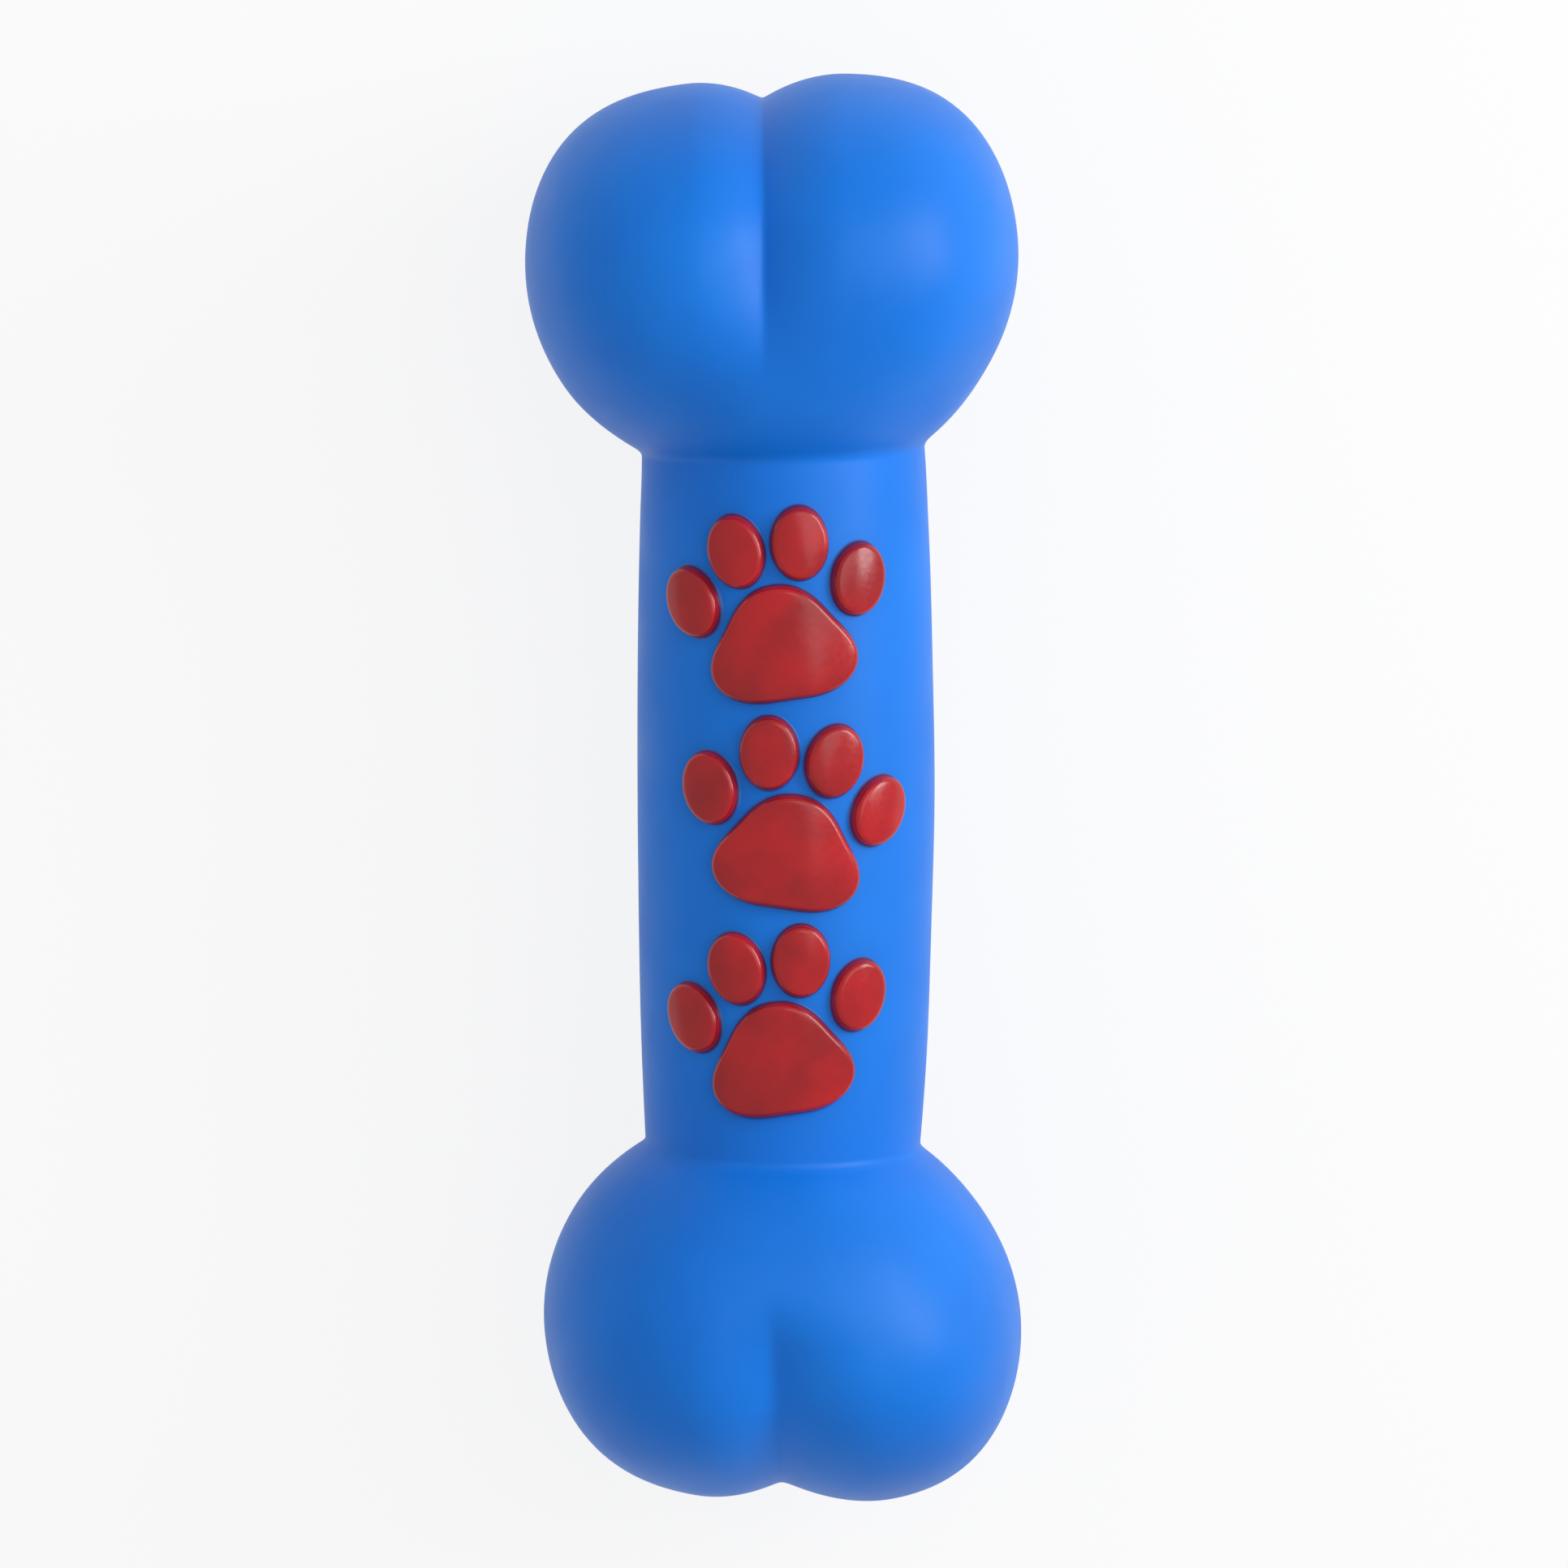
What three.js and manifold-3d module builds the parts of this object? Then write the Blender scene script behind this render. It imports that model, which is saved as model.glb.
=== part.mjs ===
// A squeaky dog bone of soft vinyl, lying on its back with its raised prints up.
// Millimetres. The bone runs along Y, X goes across both lobes of a knob and Z is up.
// The far knob is the one at +Y and the near knob the one at -Y.

import * as THREE from 'three';
import { mergeVertices } from 'three/addons/utils/BufferGeometryUtils.js';
import Module from 'manifold-3d';

const wasm = await Module();
wasm.setup();

// Bone: overall form
const boneLength = 178;
const knobDepth = 59.4;
const farKnobWidth = 60.9;
const nearKnobWidth = 59.7;
const farEndReach = 22.4; // knob centre to the tips of its lobes
const nearEndReach = 22.1;
const farNeckReach = 28.3; // knob centre to the tip of its egg, which lies hidden in the shaft
const nearNeckReach = 27.6;
const farNeckDiameter = 35;
const nearNeckDiameter = 34.3;
const shaftMidDiameter = 36.9;
const neckFillet = 1.2;
const farLean = 3.3; // degrees that a knob is turned about Z at its neck
const nearLean = 0;
const farSkew = 0.01; // share of x by which a knob's points are set towards +Y
const nearSkew = -0.04;
const leanRun = 9; // half the stretch of axis over which the lean comes in
const shaftBow = 0.35; // the necks lie this far to -X of the shaft's middle

// Bone: the two lobes and the crease between them
const farSquareness = 3.6; // power of a knob's oval across the lobes, where 2 is an ellipse
const nearSquareness = 3.2;
const lobeRun = 24; // the oval becomes an ellipse over this length on the neck side of the knob centre
const creaseDepth = 3.3;
const farCreaseLeft = 9; // width of the crease's flank on the lobe at -X
const farCreaseRight = 10; // and on the lobe at +X
const nearCreaseLeft = 10;
const nearCreaseRight = 13;
const farCreaseTail = 14; // the crease runs out this far on the neck side of the knob centre
const nearCreaseTail = 10;
const farCreaseFade = 17; // and does so over this length
const nearCreaseFade = 13;
const tailWidthShare = 0.75; // the crease narrows to this share of its width as it runs out
const creaseDrift = -1.8; // sideways wander of the crease from the notch to its tail
const creaseSoftness = 0.7; // radius at the bottom of the crease
const notchShare = 0.75; // depth of the crease at the tip of the knob, as a share of its full depth

// Bone: the moulding
const skinWall = 2.6;
const restFlat = 1; // depth of the flats that the lobes rest on
const fitGap = 0.3; // clearance between neighbouring pieces

// Raised prints along the top of the shaft
const printLength = 24;
const printWidth = 28; // along the curve of the shaft
const printSpacing = 1.8;
const printMargin = 4.4; // bare shaft between a neck and the first print
const printStagger = 1; // sideways step, left and right in turn
const printTurn = 8; // degrees that each print toes out
const printHeight = 1.5;
const printEdgeRound = 0.8;
const printEdgeShare = 0.7; // the most of a pad's thickness that its rounded edge may take
const printCrown = 0.15; // how much the middle of a pad stands over its edge

// Squeaker, set in a flat seat in the underside of the shaft
const plugDiameter = 12; // the neck of the case, gripped by the skin
const flangeOverhang = 3; // beyond the neck, all round
const flangeThickness = 1.6;
const seatLip = 0.5; // height of the seat's wall where the shaft curves away
const seatClearance = 0.4; // between the flange's rim and the seat's wall
const ventDiameter = 3;
const barbOverhang = 1.6;
const barbHeight = 3;
const barrelStep = 0.4; // the barrel is this much smaller in radius than the neck
const barrelWall = 1.4;
const barrelLength = 9;

// Reed, clamped between its bed and a wedge in the bore of the case
const reedThickness = 0.3;
const reedWidth = 4.4;
const reedOverhang = 6; // free length past the wedge
const reedSwing = 0.6; // extra room for the tip over the bed
const wedgeLength = 4;
const bedOverrun = 1.2; // the bed reaches past the tip of the reed
const channelWidth = 2.6;
const channelDepth = 1.2;

// Fineness of the meshes
const skinFacets = { around: 40, end: 8, neck: 6, shaft: 8 };
const cavityFacets = { around: 28, end: 6, neck: 5, shaft: 6 };
const padFacets = { pad: 22, toe: 16 };
const turnedFacets = 28;

const degree = Math.PI / 180;
const tangentSteps = 8;
const knobHalfDepth = knobDepth / 2;
const shaftMidRadius = shaftMidDiameter / 2;

function smoothstep(low, high, value) {
  return THREE.MathUtils.smoothstep(value, low, high);
}

// The larger of two lengths, with a rounded corner where they cross.
function filletedMax(a, b, fillet) {
  const closeness = Math.max(fillet - Math.abs(a - b), 0) / fillet;
  return Math.max(a, b) + closeness * closeness * fillet / 4;
}

// One end of the bone. side is +1 for the far knob and -1 for the near one.
function knob(side, width, squareness, endReach, neckReach, neckDiameter, lean, skew, crease) {
  const halfWidth = width / 2;
  const neckRadius = neckDiameter / 2;
  const centre = boneLength / 2 - endReach;
  const neckRun = neckReach * Math.sqrt(1 - (neckRadius / halfWidth) ** 2);
  const neck = centre - neckRun;
  return {
    side, halfWidth, squareness, endReach, neckReach, neckRadius, lean, skew, crease, centre, neckRun, neck,
  };
}

const farCrease = {
  left: farCreaseLeft, right: farCreaseRight, tail: farCreaseTail, fade: farCreaseFade,
};
const nearCrease = {
  left: nearCreaseLeft, right: nearCreaseRight, tail: nearCreaseTail, fade: nearCreaseFade,
};
const farKnob = knob(1, farKnobWidth, farSquareness, farEndReach,
  farNeckReach, farNeckDiameter, farLean, farSkew, farCrease);
const nearKnob = knob(-1, nearKnobWidth, nearSquareness, nearEndReach,
  nearNeckReach, nearNeckDiameter, nearLean, nearSkew, nearCrease);

// Radius of the shaft, a slight barrel that is thickest at mid length.
function shaftRadius(y) {
  const end = y > 0 ? farKnob : nearKnob;
  const share = Math.min(Math.abs(y) / end.neck, 1);
  return shaftMidRadius - (shaftMidRadius - end.neckRadius) * share * share;
}

// Puts the moulding out of true: the shaft bows, and each knob leans and slants from its own neck.
function outOfTrue(point) {
  const end = point.y > 0 ? farKnob : nearKnob;
  const share = Math.min(Math.abs(point.y) / end.neck, 1);
  const leaning = smoothstep(-leanRun, leanRun, Math.abs(point.y) - end.neck);
  const angle = end.lean * degree * leaning;
  const pivot = new THREE.Vector3(0, end.side * end.neck, 0);
  point.y += end.skew * leaning * point.x;
  point.sub(pivot).applyAxisAngle(new THREE.Vector3(0, 0, 1), angle).add(pivot);
  point.x -= shaftBow * share * share;
  return point;
}

// Distance r at which (r * across) ** power + r * r * rest is 1. Tangent steps come in from outside.
function ovalReach(across, rest, power) {
  let reach = 1 / Math.max(across, Math.sqrt(rest));
  for (let i = 0; i < tangentSteps; i += 1) {
    const side = (reach * across) ** power;
    const round = reach * reach * rest;
    reach -= reach * (side + round - 1) / (power * side + 2 * round);
  }
  return reach;
}

// Depth of the crease at a point that is x across and v past the knob's centre.
function creaseAt(end, x, v) {
  const { left, right, tail, fade } = end.crease;
  const along = smoothstep(-tail, fade - tail, v);
  const tip = 1 - (1 - notchShare) * smoothstep(end.endReach / 2, end.endReach, v);
  const wander = creaseDrift * (end.endReach - v) / (end.endReach + tail);
  const flank = (x < wander ? left : right) * THREE.MathUtils.lerp(tailWidthShare, 1, along);
  const off = Math.hypot(x - wander, creaseSoftness) - creaseSoftness;
  return creaseDepth * along * tip * Math.max(1 - off / flank, 0) ** 2;
}

// A point on the end half of a knob, on a ray at tilt from its axis and turn about it.
function endPoint(end, inset, tilt, turn) {
  const ray = new THREE.Vector3(
    Math.sin(tilt) * Math.cos(turn), Math.cos(tilt), Math.sin(tilt) * Math.sin(turn));
  const rest = (ray.y / (end.endReach - inset)) ** 2 + (ray.z / (knobHalfDepth - inset)) ** 2;
  const reach = ovalReach(Math.abs(ray.x) / (end.halfWidth - inset), rest, end.squareness);
  const depth = creaseAt(end, reach * ray.x, reach * ray.y);
  ray.multiplyScalar(reach - depth);
  return new THREE.Vector3(ray.x, end.side * (end.centre + ray.y), ray.z);
}

// A point on the neck half of a knob or on the shaft, back from the knob's centre by run.
function neckPoint(end, inset, run, turn) {
  const y = end.side * (end.centre - run);
  const share = Math.sqrt(1 - Math.min(run / (end.neckReach - inset), 1) ** 2);
  const power = THREE.MathUtils.lerp(2, end.squareness, smoothstep(-lobeRun, 0, -run));
  const across = Math.abs(Math.cos(turn)) / (end.halfWidth - inset);
  const rest = (Math.sin(turn) / (knobHalfDepth - inset)) ** 2;
  const oval = share * ovalReach(across, rest, power);
  const knobRadius = oval - creaseAt(end, oval * Math.cos(turn), -run);
  const radius = filletedMax(knobRadius, shaftRadius(y) - inset, neckFillet);
  return new THREE.Vector3(radius * Math.cos(turn), y, radius * Math.sin(turn));
}

// A closed surface through rings of points, from one pole to the other.
function closedLoft(firstPole, rings, lastPole) {
  const around = rings[0].length;
  const points = [firstPole, ...rings.flat(), lastPole];
  const faces = [];
  for (let j = 0; j < around; j += 1) {
    const next = (j + 1) % around;
    faces.push(0, 1 + next, 1 + j);
    for (let i = 0; i < rings.length - 1; i += 1) {
      const here = 1 + i * around;
      const below = here + around;
      faces.push(here + j, here + next, below + j);
      faces.push(here + next, below + next, below + j);
    }
    const lastRing = 1 + (rings.length - 1) * around;
    faces.push(points.length - 1, lastRing + j, lastRing + next);
  }
  const geometry = new THREE.BufferGeometry().setFromPoints(points);
  geometry.setIndex(faces);
  return geometry;
}

// The bone's surface, moved in by inset all over.
function boneSurface(inset, facets) {
  const ring = (pointAt) => Array.from({ length: facets.around },
    (_, j) => outOfTrue(pointAt(2 * Math.PI * j / facets.around)));
  const knobRings = (end) => {
    const rings = [];
    for (let i = 1; i <= facets.end; i += 1) {
      const tilt = Math.PI / 2 * i / facets.end;
      rings.push(ring((turn) => endPoint(end, inset, tilt, turn)));
    }
    for (let i = 1; i <= facets.neck; i += 1) {
      const run = end.neckRun * Math.sin(Math.PI / 2 * i / facets.neck);
      rings.push(ring((turn) => neckPoint(end, inset, run, turn)));
    }
    rings.push(ring((turn) => neckPoint(end, inset, end.neckRun + neckFillet, turn)));
    return rings;
  };
  const shaftRings = [];
  const shaftFar = farKnob.neck - neckFillet;
  const shaftNear = -nearKnob.neck + neckFillet;
  for (let i = 1; i < facets.shaft; i += 1) {
    const y = THREE.MathUtils.lerp(shaftFar, shaftNear, i / facets.shaft);
    const end = y > 0 ? farKnob : nearKnob;
    shaftRings.push(ring((turn) => neckPoint(end, inset, end.centre - Math.abs(y), turn)));
  }
  const rings = [...knobRings(farKnob), ...shaftRings, ...knobRings(nearKnob).reverse()];
  const pole = (end) => outOfTrue(endPoint(end, inset, 0, 0));
  return closedLoft(pole(farKnob), rings, pole(nearKnob));
}

function solid(geometry) {
  const bare = geometry.clone();
  bare.deleteAttribute('normal');
  bare.deleteAttribute('uv');
  const merged = mergeVertices(bare);
  const vertProperties = new Float32Array(merged.getAttribute('position').array);
  const triVerts = new Uint32Array(merged.getIndex().array);
  return new wasm.Manifold(new wasm.Mesh({ numProp: 3, vertProperties, triVerts }));
}

function geometryOf(body) {
  const mesh = body.getMesh();
  const geometry = new THREE.BufferGeometry();
  geometry.setAttribute('position', new THREE.BufferAttribute(mesh.vertProperties, 3));
  geometry.setIndex(new THREE.BufferAttribute(mesh.triVerts, 1));
  return geometry;
}

// An upright round bar between two heights.
function uprightBar(radius, bottom, top) {
  const bar = new THREE.CylinderGeometry(radius, radius, top - bottom, turnedFacets);
  return bar.rotateX(Math.PI / 2).translate(0, 0, (bottom + top) / 2);
}

function block(width, depth, bottom, top, y) {
  return new THREE.BoxGeometry(width, depth, top - bottom).translate(0, y, (bottom + top) / 2);
}

// Heights of the squeaker's seat, measured from the shaft's axis
const plugRadius = plugDiameter / 2;
const flangeRadius = plugRadius + flangeOverhang;
const seatRadius = flangeRadius + seatClearance;
const seatOuter = -Math.sqrt(shaftMidRadius ** 2 - seatRadius ** 2) + seatLip;
const seatInner = seatOuter + skinWall;

// The hollow skin: the bone less its cavity, with the seat, the hole and the flats it rests on.
function boneSkin() {
  const bottom = -knobDepth;
  const seat = uprightBar(seatRadius, bottom, seatOuter);
  const seatInside = uprightBar(seatRadius + skinWall, bottom, seatInner);
  const hole = uprightBar(plugRadius + fitGap, bottom, seatInner + skinWall);
  const floor = block(2 * boneLength, 2 * boneLength, bottom, -knobHalfDepth + restFlat, 0);
  const cavity = solid(boneSurface(skinWall, cavityFacets)).subtract(solid(seatInside));
  const outside = solid(boneSurface(0, skinFacets)).subtract(solid(floor)).subtract(solid(seat));
  return geometryOf(outside.subtract(cavity).subtract(solid(hole)));
}

// A point on the top of the shaft: across along its curve, along its axis, and out from it.
function onShaft(across, along, out) {
  const radius = shaftRadius(along) + out;
  const angle = across / shaftMidRadius;
  return new THREE.Vector3(radius * Math.sin(angle), along, radius * Math.cos(angle));
}

// One raised pad. outline(angle) is the share of the oval's half sizes that it reaches.
function raisedPad(print, centre, halfSize, turn, outline, around) {
  const edgeRound = Math.min(printEdgeRound, printEdgeShare * (printHeight - fitGap));
  const topShare = 1 - edgeRound / Math.min(halfSize.x, halfSize.y);
  const midShare = topShare / 2;
  const onPad = (share, angle, out) => {
    const reach = share * outline(angle);
    const spot = new THREE.Vector2(halfSize.x * Math.cos(angle), halfSize.y * Math.sin(angle));
    spot.multiplyScalar(reach).rotateAround(new THREE.Vector2(), turn).add(centre);
    spot.rotateAround(new THREE.Vector2(), print.turn);
    return outOfTrue(onShaft(spot.x + print.across, spot.y + print.along, out));
  };
  const ring = (share, out) => Array.from({ length: around },
    (_, j) => onPad(share, 2 * Math.PI * j / around, out));
  const rings = [
    ring(midShare, fitGap),
    ring(1, fitGap),
    ring(1, printHeight - edgeRound),
    ring(topShare, printHeight),
    ring(midShare, printHeight + printCrown / 2),
  ];
  return closedLoft(onPad(0, 0, fitGap), rings, onPad(0, 0, printHeight + printCrown));
}

// The motif, in shares of a print's half width and half length
const toeMotif = [
  { name: 'outer_left', x: -0.78, y: 0.16, turn: 22 },
  { name: 'inner_left', x: -0.29, y: 0.63, turn: 7 },
  { name: 'inner_right', x: 0.29, y: 0.63, turn: -7 },
  { name: 'outer_right', x: 0.78, y: 0.16, turn: -22 },
];
const toeHalfSize = { x: 0.25, y: 0.37 };
const padMotif = { x: 0, y: -0.42, cornerShare: 0.12 };
const padHalfSize = { x: 0.62, y: 0.58 };

const blueVinyl = { color: 0x1a74dc, roughness: 0.5, metalness: 0 };
const redPaint = { color: 0xb3242b, roughness: 0.35, metalness: 0 };
const whitePlastic = { color: 0xe9e8e2, roughness: 0.45, metalness: 0 };
const clearFilm = { color: 0xcfd3cf, roughness: 0.3, metalness: 0 };

function piece(name, geometry, finish) {
  geometry.computeVertexNormals();
  const material = new THREE.MeshStandardMaterial(finish);
  const mesh = new THREE.Mesh(geometry, material);
  mesh.name = name;
  return mesh;
}

// One print: a three-cornered pad with four toes above it.
function pawPrint(number, print) {
  const half = new THREE.Vector2(printWidth / 2, printLength / 2);
  const group = new THREE.Group();
  const rounded = (angle) => 1 - padMotif.cornerShare * Math.sin(3 * angle);
  const oval = () => 1;
  const add = (name, spot, size, turn, outline, around) => {
    const centre = new THREE.Vector2(spot.x, spot.y).multiply(half);
    const halfSize = new THREE.Vector2(size.x, size.y).multiply(half);
    const geometry = raisedPad(print, centre, halfSize, turn * degree, outline, around);
    group.add(piece(`print_${number}_${name}`, geometry, redPaint));
  };
  add('pad', padMotif, padHalfSize, 0, rounded, padFacets.pad);
  for (const toe of toeMotif) {
    add(`toe_${toe.name}`, toe, toeHalfSize, toe.turn, oval, padFacets.toe);
  }
  return group;
}

// As many prints as the shaft has room for, in a row centred between the necks.
function printTrail() {
  const trail = new THREE.Group();
  const pitch = printLength + printSpacing;
  const room = farKnob.neck + nearKnob.neck - 2 * printMargin + printSpacing;
  const count = Math.max(Math.floor(room / pitch), 1);
  const middle = (farKnob.neck - nearKnob.neck) / 2;
  for (let i = 0; i < count; i += 1) {
    const side = i % 2 === 0 ? -1 : 1;
    const print = {
      along: middle + ((count - 1) / 2 - i) * pitch,
      across: side * printStagger,
      turn: -side * printTurn * degree,
    };
    trail.add(pawPrint(i + 1, print));
  }
  return trail;
}

// The squeaker's case: flange, neck, barb and barrel in one turned piece, open at both ends.
const flangeTop = seatOuter - fitGap;
const flangeBottom = flangeTop - flangeThickness;
const barbBottom = seatInner + fitGap;
const barbTop = barbBottom + barbHeight;
const barrelTop = barbTop + barrelLength;
const barrelRadius = plugRadius - barrelStep;
const boreRadius = barrelRadius - barrelWall;

function squeakerCase() {
  const ventRadius = ventDiameter / 2;
  const profile = [
    [ventRadius, flangeBottom],
    [flangeRadius, flangeBottom],
    [flangeRadius, flangeTop],
    [plugRadius, flangeTop],
    [plugRadius, barbBottom],
    [plugRadius + barbOverhang, barbBottom],
    [barrelRadius, barbTop],
    [barrelRadius, barrelTop],
    [boreRadius, barrelTop],
    [boreRadius, flangeTop],
    [ventRadius, flangeTop],
    [ventRadius, flangeBottom],
  ];
  const points = profile.map(([radius, height]) => new THREE.Vector2(radius, height));
  return new THREE.LatheGeometry(points, turnedFacets).rotateX(Math.PI / 2);
}

// The reed and its two clamps stand on the floor of the bore.
const reedBottom = flangeTop + fitGap;
const wedgeTop = reedBottom + wedgeLength;
const reedTop = wedgeTop + reedOverhang;
const bedTop = reedTop + bedOverrun;
const clampFace = reedThickness / 2 + fitGap;
const insertRadius = boreRadius - fitGap;

// A half-round insert: the bore's round bar cut by a side view, given as [y, z] corners.
function boreInsert(corners, top) {
  const side = new THREE.Shape(corners.map(([y, z]) => new THREE.Vector2(y, z)));
  const width = 2 * boreRadius;
  const cut = new THREE.ExtrudeGeometry(side, { depth: width, bevelEnabled: false });
  cut.translate(0, 0, -width / 2).rotateX(Math.PI / 2).rotateZ(Math.PI / 2);
  return solid(uprightBar(insertRadius, reedBottom, top)).intersect(solid(cut));
}

function reedBed() {
  const back = -2 * boreRadius;
  const bed = boreInsert([
    [back, reedBottom - fitGap],
    [-clampFace, reedBottom - fitGap],
    [-clampFace, wedgeTop],
    [-clampFace - reedSwing, wedgeTop + reedSwing],
    [-clampFace - reedSwing, bedTop + fitGap],
    [back, bedTop + fitGap],
  ], bedTop);
  const channelBack = -clampFace - reedSwing - channelDepth;
  const channel = block(channelWidth, -channelBack, reedBottom - fitGap, bedTop + fitGap, channelBack / 2);
  return geometryOf(bed.subtract(solid(channel)));
}

function reedWedge() {
  const front = 2 * boreRadius;
  return geometryOf(boreInsert([
    [clampFace, reedBottom - fitGap],
    [front, reedBottom - fitGap],
    [front, wedgeTop + fitGap],
    [clampFace, wedgeTop + fitGap],
  ], wedgeTop));
}

function reedTongue() {
  return block(reedWidth, reedThickness, reedBottom, reedTop, 0);
}

const squeaker = new THREE.Group();
squeaker.add(piece('squeaker_case', squeakerCase(), whitePlastic));
squeaker.add(piece('reed_bed', reedBed(), whitePlastic));
squeaker.add(piece('reed_wedge', reedWedge(), whitePlastic));
squeaker.add(piece('reed_tongue', reedTongue(), clearFilm));

const bone = new THREE.Group();
bone.add(piece('bone_skin', boneSkin(), blueVinyl));
bone.add(printTrail());
bone.add(squeaker);

// The origin is on the floor, under the middle of the bone's box.
const box = new THREE.Box3().setFromObject(bone, true);
bone.position.set(-(box.min.x + box.max.x) / 2, -(box.min.y + box.max.y) / 2, -box.min.z);

export default bone;
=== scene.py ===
# %% [markdown]
# # A squeaky vinyl dog bone
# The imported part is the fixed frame: its solids say where everything is. Each step below builds the
# looks of one piece round that frame, in the same place and at the same size. Lengths are written in
# millimetres, as a toy maker would, and become metres only where the scene takes them.

import math

import bmesh
import bpy
import numpy as np
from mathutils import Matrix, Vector


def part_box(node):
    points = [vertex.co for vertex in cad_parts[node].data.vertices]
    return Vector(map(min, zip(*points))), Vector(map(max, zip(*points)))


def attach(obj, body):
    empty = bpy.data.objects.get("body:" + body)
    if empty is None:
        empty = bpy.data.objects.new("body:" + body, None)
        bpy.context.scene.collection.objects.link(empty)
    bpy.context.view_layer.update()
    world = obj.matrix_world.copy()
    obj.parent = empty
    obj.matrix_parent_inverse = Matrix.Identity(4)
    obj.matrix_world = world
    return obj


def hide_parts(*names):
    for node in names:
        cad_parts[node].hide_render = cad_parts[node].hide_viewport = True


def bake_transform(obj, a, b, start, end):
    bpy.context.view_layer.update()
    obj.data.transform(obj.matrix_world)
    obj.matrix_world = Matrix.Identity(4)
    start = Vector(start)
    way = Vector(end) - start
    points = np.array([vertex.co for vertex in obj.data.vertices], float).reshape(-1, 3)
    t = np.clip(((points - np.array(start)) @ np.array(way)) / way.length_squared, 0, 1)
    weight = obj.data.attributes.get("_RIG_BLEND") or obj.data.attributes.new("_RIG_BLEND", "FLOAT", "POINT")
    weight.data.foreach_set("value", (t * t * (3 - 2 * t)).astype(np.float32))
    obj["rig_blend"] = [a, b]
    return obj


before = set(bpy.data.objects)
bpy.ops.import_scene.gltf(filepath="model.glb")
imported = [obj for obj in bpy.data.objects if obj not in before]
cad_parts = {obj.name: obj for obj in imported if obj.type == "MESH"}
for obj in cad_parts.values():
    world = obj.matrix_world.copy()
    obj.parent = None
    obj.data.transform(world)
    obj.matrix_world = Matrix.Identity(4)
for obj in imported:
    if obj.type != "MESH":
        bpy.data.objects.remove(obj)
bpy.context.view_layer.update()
MM = 0.001

# %% [markdown]
# ## Small helpers
# A colour is given as an sRGB hex value, but shaders work in linear light, so one function turns the
# first into the second. A node tree is easier to read as a list than as a picture, so one function
# adds a node with its settings, and another fills a node's inputs with numbers, colours and links.
# Every mesh here is made from points and faces that are worked out first, so one function puts those
# in an object.

# %% Helpers
def linear(hex_colour):
    """An sRGB hex colour as the linear RGBA that a shader takes."""
    channels = [int(hex_colour[i:i + 2], 16) / 255 for i in (1, 3, 5)]
    return [c / 12.92 if c <= 0.04045 else ((c + 0.055) / 1.055) ** 2.4 for c in channels] + [1.0]


def new_material(name):
    """A material with nodes, and its shader."""
    material = bpy.data.materials.new(name)
    material.use_nodes = True
    return material, material.node_tree.nodes["Principled BSDF"]


def fill_inputs(material, node, inputs):
    """Sets inputs by name or number, each to a number, a colour or the output of another node."""
    for name, value in inputs.items():
        if isinstance(value, bpy.types.NodeSocket):
            material.node_tree.links.new(value, node.inputs[name])
        else:
            node.inputs[name].default_value = value


def add_node(material, kind, inputs=None, **settings):
    """Adds a node with its settings and its inputs."""
    made = material.node_tree.nodes.new(kind)
    for name, value in settings.items():
        setattr(made, name, value)
    fill_inputs(material, made, inputs or {})
    return made


def mesh_piece(name, points, faces, material):
    """An object from points in millimetres, with its faces turned outwards and shaded smooth."""
    mesh = bpy.data.meshes.new(name)
    mesh.from_pydata((np.asarray(points) * MM).tolist(), [], faces)
    mesh.materials.append(material)
    shell = bmesh.new()
    shell.from_mesh(mesh)
    bmesh.ops.recalc_face_normals(shell, faces=shell.faces)
    open_edges = sum(not edge.is_manifold for edge in shell.edges)
    shell.to_mesh(mesh)
    shell.free()
    mesh.shade_smooth()
    made = bpy.data.objects.new(name, mesh)
    bpy.context.scene.collection.objects.link(made)
    print(f"{name}: {len(mesh.polygons)} faces, {open_edges} open edges")
    return made


# %% [markdown]
# ## Blue vinyl
# The skin is soft PVC, poured as a liquid into a hot metal mould that turns until an even wall has
# set against it. The mould is blasted with grit, so the skin comes out satin: a broad, soft highlight
# and no mirror image. Its pigment is even, with a slight cloudiness a few centimetres wide. Soft PVC
# has an IOR of about 1.53, and its gloss was then matched to the photograph: the grit's tiny pits trap
# part of the light, so the specular level is little more than half of a smooth surface's. The grain
# itself is near 0.1 mm, too fine to show at this distance, so it is drawn at 0.35 mm.

# %% Vinyl material
VINYL_BLUE = "#0279e6"
VINYL_SHADES = [(0.3, "#0074e0"), (0.7, "#047eec")]
VINYL_IOR = 1.53
VINYL_SPECULAR_LEVEL = 0.28
VINYL_ROUGHNESS = (0.44, 0.51)
CLOUD_SIZE = 22
SHEEN_PATCH_SIZE = 9
GRAIN_SIZE = 0.35
GRAIN_DEPTH = 0.02
# Nearly all values of a noise lie between these two.
NOISE_LOW, NOISE_HIGH = 0.3, 0.7

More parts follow.
